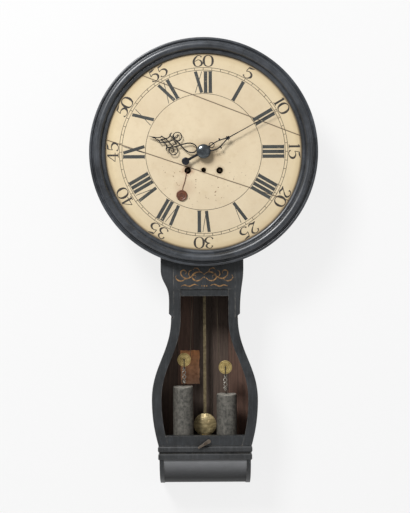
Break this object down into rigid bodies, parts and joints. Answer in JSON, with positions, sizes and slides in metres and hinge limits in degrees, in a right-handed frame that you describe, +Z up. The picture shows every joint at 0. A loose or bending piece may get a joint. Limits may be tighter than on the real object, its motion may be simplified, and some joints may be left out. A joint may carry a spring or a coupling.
{
  "type": "act of parliament clock",
  "caption": "Weight-driven tavern wall clock with a large round painted dial, pierced hands and a pear-shaped open trunk showing pendulum, pulleys and lead weights.",
  "frame": {"origin": "on the wall face of the backboard, straight behind the arbor that carries the hands", "axes": "+Z up along the trunk, +Y into the wall, +X to the right as the dial is read"},
  "size_m": [0.7599, 0.229, 1.512],
  "materials": {
    "ebonised_wood": "worn blue-black paint on pine, satin",
    "inner_wood": "dark red-brown planks, matt",
    "dial_paint": "aged cream paint on boards, matt",
    "steel": "blued and browned steel, polished",
    "iron": "forged iron, dark",
    "brass": "aged brass, satin",
    "lead": "cast lead, dull grey",
    "gut": "twisted gut line",
    "cord": "red-brown twine",
    "wax": "old brown-red sealing wax",
    "paper": "aged red-brown paper",
    "bell_metal": "turned bell metal"
  },
  "bodies": {
    "case": {"backboard": "inner_wood", "hanging_plate": "iron", "left_side_board": "ebonised_wood", "right_side_board": "ebonised_wood", "top_board": "ebonised_wood", "left_ear": "ebonised_wood", "right_ear": "ebonised_wood", "front_stiles": "ebonised_wood", "sign_board": "ebonised_wood", "front_rails": "ebonised_wood", "base_mouldings": "ebonised_wood", "base_cheeks": "ebonised_wood", "base_front_panel": "ebonised_wood", "paper_label": "paper", "turn_button_screw": "iron", "door_hinges": "iron", "dial_boards": "dial_paint", "dial_battens": "inner_wood", "dial_moulding": "ebonised_wood", "front_plate": "brass", "back_plate": "brass", "plate_pillars": "brass", "seatboard": "inner_wood", "back_cock": "brass", "bell": "bell_metal", "left_line": "gut", "right_line": "gut", "seal_cord": "cord", "wax_seal": "wax"},
    "minute_hand": {"minute_hand": "steel", "cannon_pinion": "steel", "centre_wheel": "brass"},
    "hour_hand": {"hour_hand": "steel", "hour_wheel": "brass"},
    "minute_wheel": {"minute_wheel": "brass"},
    "second_wheel": {"second_wheel": "brass"},
    "going_great_wheel": {"going_great_wheel": "brass"},
    "third_wheel": {"third_wheel": "brass"},
    "escape_wheel": {"escape_wheel": "brass"},
    "pendulum": {"pendulum_rod": "brass", "pendulum_bob": "brass", "rating_nut": "brass"},
    "pallet_anchor": {"pallet_anchor": "steel"},
    "going_barrel": {"going_barrel": "brass"},
    "strike_barrel": {"strike_barrel": "brass"},
    "right_weight": {"right_weight": "lead", "right_stirrup": "iron"},
    "left_weight": {"left_weight": "lead", "left_stirrup": "iron"},
    "right_pulley": {"right_pulley_wheel": "brass"},
    "left_pulley": {"left_pulley_wheel": "brass"},
    "strike_great_wheel": {"strike_great_wheel": "brass"},
    "pin_wheel": {"pin_wheel": "brass"},
    "hoop_wheel": {"hoop_wheel": "brass"},
    "warning_wheel": {"warning_wheel": "brass"},
    "fly": {"fly": "steel"},
    "hammer": {"hammer": "steel"},
    "turn_button": {"turn_button": "ebonised_wood"},
    "left_side_door": {"left_side_door": "ebonised_wood"},
    "right_side_door": {"right_side_door": "ebonised_wood"}
  },
  "joints": [
    {"name": "minute_turn", "type": "hinge", "parent": "case", "child": "minute_hand", "pos_m": [0, -0.12, 0], "axis": [0, 1, 0], "continuous": true},
    {"name": "hour_turn", "type": "hinge", "parent": "case", "child": "hour_hand", "pos_m": [0, -0.12, 0], "axis": [0, 1, 0], "continuous": true},
    {"name": "minute_wheel_turn", "type": "hinge", "parent": "case", "child": "minute_wheel", "pos_m": [-0.024, -0.12, 0.012], "axis": [0, 1, 0], "continuous": true},
    {"name": "second_wheel_turn", "type": "hinge", "parent": "case", "child": "second_wheel", "pos_m": [0.0255, -0.12, -0.03], "axis": [0, 1, 0], "continuous": true},
    {"name": "great_wheel_turn", "type": "hinge", "parent": "case", "child": "going_great_wheel", "pos_m": [0.053, -0.12, -0.062], "axis": [0, 1, 0], "continuous": true},
    {"name": "third_wheel_turn", "type": "hinge", "parent": "case", "child": "third_wheel", "pos_m": [0.02, -0.12, 0.023], "axis": [0, 1, 0], "continuous": true},
    {"name": "escape_wheel_turn", "type": "hinge", "parent": "case", "child": "escape_wheel", "pos_m": [0, -0.12, 0.0385], "axis": [0, 1, 0], "continuous": true},
    {"name": "pendulum_swing", "type": "hinge", "parent": "case", "child": "pendulum", "pos_m": [0, -0.055, 0.0655], "axis": [0, 1, 0], "range_deg": [-2.5, 2.5]},
    {"name": "anchor_rock", "type": "hinge", "parent": "case", "child": "pallet_anchor", "pos_m": [0, -0.12, 0.0655], "axis": [0, 1, 0], "range_deg": [-2.5, 2.5]},
    {"name": "right_weight_slide", "type": "slide", "parent": "case", "child": "right_weight", "axis": [-0.0593, 0, 0.9982], "range_m": [0, 0.5], "deforming": ["right_line"]},
    {"name": "left_weight_slide", "type": "slide", "parent": "case", "child": "left_weight", "axis": [0.0593, 0, 0.9982], "range_m": [0, 0.5], "deforming": ["left_line"]},
    {"name": "going_barrel_turn", "type": "hinge", "parent": "case", "child": "going_barrel", "pos_m": [0.053, -0.12, -0.062], "axis": [0, 1, 0], "range_deg": [-1, 2274.64]},
    {"name": "strike_barrel_turn", "type": "hinge", "parent": "case", "child": "strike_barrel", "pos_m": [-0.053, -0.12, -0.062], "axis": [0, 1, 0], "range_deg": [-2274.64, 1]},
    {"name": "right_pulley_turn", "type": "hinge", "parent": "right_weight", "child": "right_pulley", "pos_m": [0.07, -0.12, -0.724], "axis": [0, 1, 0], "range_deg": [-1391.67, 1]},
    {"name": "left_pulley_turn", "type": "hinge", "parent": "left_weight", "child": "left_pulley", "pos_m": [-0.07, -0.12, -0.698], "axis": [0, 1, 0], "range_deg": [-1, 1391.67]},
    {"name": "strike_train_turn", "type": "hinge", "parent": "case", "child": "strike_great_wheel", "pos_m": [-0.053, -0.12, -0.062], "axis": [0, 1, 0], "continuous": true},
    {"name": "pin_wheel_turn", "type": "hinge", "parent": "case", "child": "pin_wheel", "pos_m": [-0.0255, -0.12, -0.03], "axis": [0, 1, 0], "continuous": true},
    {"name": "hoop_wheel_turn", "type": "hinge", "parent": "case", "child": "hoop_wheel", "pos_m": [-0.052, -0.12, 0], "axis": [0, 1, 0], "continuous": true},
    {"name": "warning_wheel_turn", "type": "hinge", "parent": "case", "child": "warning_wheel", "pos_m": [-0.047, -0.12, 0.0225], "axis": [0, 1, 0], "continuous": true},
    {"name": "fly_turn", "type": "hinge", "parent": "case", "child": "fly", "pos_m": [-0.053, -0.12, 0.039], "axis": [0, 1, 0], "continuous": true},
    {"name": "hammer_lift", "type": "hinge", "parent": "case", "child": "hammer", "pos_m": [-0.074, -0.12, -0.01], "axis": [0, 1, 0], "range_deg": [-4, 0]},
    {"name": "turn_button_turn", "type": "hinge", "parent": "case", "child": "turn_button", "pos_m": [0.001, -0.175, -0.972], "axis": [0, 1, 0], "range_deg": [-180, 90]},
    {"name": "right_door_open", "type": "hinge", "parent": "case", "child": "right_side_door", "pos_m": [0.1168, -0.037, 0.03], "axis": [0, 0, 1], "range_deg": [0, 100]},
    {"name": "left_door_open", "type": "hinge", "parent": "case", "child": "left_side_door", "pos_m": [-0.1168, -0.037, 0.03], "axis": [0, 0, -1], "range_deg": [0, 100]}
  ],
  "couplings": [
    {"joint": "hour_turn", "follows": "minute_turn", "ratio": 0.083333},
    {"joint": "minute_wheel_turn", "follows": "minute_turn", "ratio": -0.5},
    {"joint": "second_wheel_turn", "follows": "minute_turn", "ratio": -0.2},
    {"joint": "great_wheel_turn", "follows": "minute_turn", "ratio": 0.033333},
    {"joint": "third_wheel_turn", "follows": "minute_turn", "ratio": -8},
    {"joint": "escape_wheel_turn", "follows": "minute_turn", "ratio": 60},
    {"joint": "anchor_rock", "follows": "pendulum_swing", "ratio": 1},
    {"joint": "going_barrel_turn", "follows": "right_weight_slide", "rad_per_m": 79.365},
    {"joint": "strike_barrel_turn", "follows": "left_weight_slide", "rad_per_m": -79.365},
    {"joint": "right_pulley_turn", "follows": "right_weight_slide", "rad_per_m": -48.544},
    {"joint": "left_pulley_turn", "follows": "left_weight_slide", "rad_per_m": 48.544},
    {"joint": "pin_wheel_turn", "follows": "strike_train_turn", "ratio": -6},
    {"joint": "hoop_wheel_turn", "follows": "strike_train_turn", "ratio": 30},
    {"joint": "warning_wheel_turn", "follows": "strike_train_turn", "ratio": -200},
    {"joint": "fly_turn", "follows": "strike_train_turn", "ratio": 1200}
  ]
}
